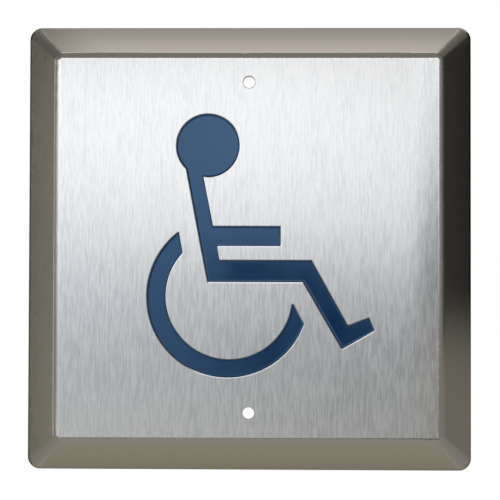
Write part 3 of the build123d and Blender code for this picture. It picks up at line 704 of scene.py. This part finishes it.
def front_card():
    """What the brushed face mirrors: bright above, darker below and at the far left, and
    darkest low on the right."""
    def tone(p):
        low_right = step(p.x, -0.02, 0.15, 0.0, 1.0) * step(-p.z, -0.01, 0.12, 0.0, 1.0)
        top_right = step(p.x, -0.14, 0.02, 0.95, 1.0) * step(p.x, -0.1, 0.2, 1.0, 1.27)
        bright = (1.46 + step(p.z, 0.03, 0.25, 0.0, 0.4)) * top_right
        level = step(p.z, -0.12, 0.09, 0.79, bright) * (1 - low_right)
        level *= 1 + step(-p.z, 0.12, 0.18, 0.0, 0.14) * step(p.x, 0.0, 0.15, 1.0, 0.0)
        level *= step(p.z, -0.4, -0.23, 0.4, 1.0) * step(-p.x, 0.28, 1.3, 1.0, 0.25)
        upper, lower = step(p.z, -0.03, 0.1, 0.0, 1.0), step(p.z, -0.19, -0.14, 1.0, 0.0)
        return tuple(level * (band + (top - band) * upper + (low - band) * lower)
                     for band, top, low in zip(BLUISH, COOL, GREYISH))

    y, left, right, low, high = -1.0, -2.0, 0.29, -0.5, 0.27
    corners = ((left, y, low), (right, y, low), (right, y, high), (left, y, high))
    glow("card_front", tone, corners, (92, 60))


def mirrored(x, z, y):
    """The place in the plane y that the camera sees mirrored at (x, z) on the face."""
    eye = bpy.context.scene.camera.matrix_world.translation
    face = Vector((x, FACE_Y, z))
    way = (face - eye) * Vector((1, -1, 1))
    return face + way * ((y - FACE_Y) / way.y)


FLAG_Y, FLAG_TONE = -0.36, 0.05


def flags():
    """Dark shapes that the enamel mirrors, low on the right. Places are millimetres on the face."""
    def plain(p):
        return FLAG_TONE

    def fading(p):
        return step(p.x, -0.028, -0.006, 0.45, FLAG_TONE)

    for name, tone, places, cells in (
        ("flag_high", plain,
         ((-10.1, -11.5), (18.7, -11.5), (18.7, -1.4), (-10.1, -1.4)), (1, 1)),
        ("flag_low", plain,
         ((9.3, -11.0), (20.7, -28.7), (35.4, -20.6), (20.7, -6.7)), (1, 1)),
        ("flag_wheel", fading,
         ((-14.0, -26.0), (-14.0, -32.0), (7.0, -32.5), (15.0, -18.0)), (24, 2)),
    ):
        glow(name, tone, [mirrored(x * MM, z * MM, FLAG_Y) for x, z in places], cells)


def backdrop():
    """A surround that only the camera sees: white behind the plate, pale grey elsewhere."""
    bm = bmesh.new()
    bmesh.ops.create_icosphere(bm, subdivisions=4, radius=3.0)
    mesh = bpy.data.meshes.new("surround")
    bm.to_mesh(mesh)
    bm.free()
    s = Shining("surround")
    s.set("Strength", s.ramp(s.axes()[1], 1.0, 2.6, 0.78, 1.0, smooth=True))
    mesh.materials.append(s.material)
    made = staged("surround", mesh)
    made.visible_diffuse = made.visible_glossy = made.visible_shadow = False
    made.visible_transmission = made.visible_volume_scatter = False


def floor():
    """Plain pale floor, below the view, which glows as painted light: not at all in front, and most
    behind the wall, where the wall cards shade it.
    """
    half, z = 1.4, -0.4
    mesh = bpy.data.meshes.new("floor")
    corners = [(-half, -half, z), (half, -half, z), (half, half, z), (-half, half, z)]
    mesh.from_pydata(corners, [], [(0, 1, 2, 3)])
    s = Shader("floor", Base_Color=(0.82, 0.82, 0.81, 1.0), Roughness=0.7,
               Emission_Color=(1.0, 1.0, 1.0, 1.0))
    # Painted light: the floor's glow rises towards the back, to fill the shade that the wall cards
    # cast behind the wall.
    s.set("Emission Strength", s.ramp(s.axes()[1], -0.6, 0.1, 0.0, 0.4, smooth=True))
    mesh.materials.append(s.material)
    staged("floor", mesh).visible_glossy = False


def soft_light(name, place, size, power):
    """A square light of this many watts, turned to the object."""
    data = bpy.data.lights.new(name, "AREA")
    data.shape = "SQUARE"
    data.size = size
    data.energy = power
    light = added(name, data)
    light.location = place
    light.rotation_mode = "QUATERNION"
    light.rotation_quaternion = (-Vector(place)).to_track_quat("-Z", "Y")


def surroundings():
    """Light by direction: a dim room, darker above and on the right, soft light behind the wall."""
    world = bpy.data.worlds.new("surroundings")
    bpy.context.scene.world = world
    world.use_nodes = True
    n = Nodes(world.node_tree, "Generated")
    x, y, z = n.axes()
    before, left, aside = n.product(y, -1.0), n.product(x, -1.0), n.math("ABSOLUTE", x)
    in_wall_plane = n.smooth(y, 0.3, 0.1)
    level = n.ramp(z, -0.5, 0.1, 0.31, 0.2, smooth=True)

    above = n.product(n.smooth(z, 0.2, 0.5), n.smooth(before, 0.12, 0.3))
    level = n.blend(above, level, 0.25)
    # The four corners of the bevels mirror the diagonals.
    high_corners = n.product(n.smooth(aside, 0.1, 0.3), n.smooth(z, 0.3, 0.6), in_wall_plane)
    level = n.blend(high_corners, level, 0.145)
    low_corners = n.product(n.smooth(aside, 0.25, 0.5), n.smooth(z, -0.2, -0.5))
    level = n.blend(low_corners, level, 0.27)
    right = n.product(n.smooth(x, 0.35, 0.75), n.smooth(z, -0.075, -0.04), in_wall_plane)
    right = n.product(right, n.smooth(before, 0.75, 0.35), n.smooth(z, 0.62, 0.45))
    level = n.blend(right, level, 0.04)
    # A thin bright strip just in front of the wall edges the top and the left bend.
    from_strip = n.math("ABSOLUTE", n.math("ADD", y, 0.06))
    on_left = n.product(n.smooth(left, 0.95, 0.975), n.smooth(z, -0.22, -0.16))
    up_left = n.math("MAXIMUM", n.smooth(z, 0.95, 0.975), on_left)
    level = n.blend(n.product(n.smooth(from_strip, 0.11, 0.06), up_left), level, 0.8)
    level = n.blend(n.smooth(y, 0.15, 0.45), level, n.ramp(z, -1.0, 1.0, 0.35, 0.8))

    background = world.node_tree.nodes["Background"]
    n.feed(background.inputs["Color"], (1.05, 1.0, 0.9, 1.0))
    n.feed(background.inputs["Strength"], level)


def studio():
    surroundings()
    wall_cards()
    front_card()
    flags()
    backdrop()
    floor()
    soft_light("rear_key", (0.7, 1.0, 0.8), 1.5, 20)
    soft_light("rear_fill", (-0.9, 0.9, 0.2), 1.3, 8)
    bpy.context.scene.view_settings.view_transform = "Standard"


make_camera()
stainless_face()
enamel()
plated("zinc_plate", (0.74, 0.75, 0.75), (0.52, 0.53, 0.53), "base_plate", "switch_bracket",
       "stud_washers", "stud_locknuts", "striker_jam_nut", "striker_screw", "switch_screws",
       "switch_nuts")
sleeves = sorted(n for n in NODES if n.startswith("guide_sleeve"))
bushes = sorted(n for n in NODES if n.startswith("guide_bush"))
turned("turned_steel", *sleeves, "striker_boss", "bracket_rivets", "lever_pin")
moulded("nylon_white", (0.78, 0.76, 0.69), (0.83, 0.81, 0.75), *bushes,
        rough=(0.35, 0.5), through=0.3)
moulded("nylon_blue", (0.05, 0.16, 0.42), (0.07, 0.2, 0.5), "locknut_inserts")
moulded("switch_black", (0.018, 0.018, 0.02), (0.03, 0.03, 0.032), "switch_case")
moulded("switch_cover", (0.34, 0.03, 0.025), (0.4, 0.04, 0.032), "switch_cover")
moulded("plunger_red", (0.45, 0.035, 0.03), (0.52, 0.05, 0.04), "switch_plunger",
        rough=(0.25, 0.35))
strip_metal("terminal_brass", (0.80, 0.66, 0.38), (0.5, 0.4, 0.24), 1,
            "terminal_common", "terminal_normally_open", "terminal_normally_closed")
strip_metal("contact_copper", (0.78, 0.46, 0.3), (0.45, 0.27, 0.18), 2,
            "contact_blade", "snap_spring")
plated("contact_silver", (0.88, 0.87, 0.84), (0.6, 0.57, 0.5), "moving_contact")
strip_metal("lever_steel", (0.70, 0.70, 0.70), (0.5, 0.49, 0.46), 2, "switch_lever")
return_springs()
threaded_studs()
wall_gasket()
studio()
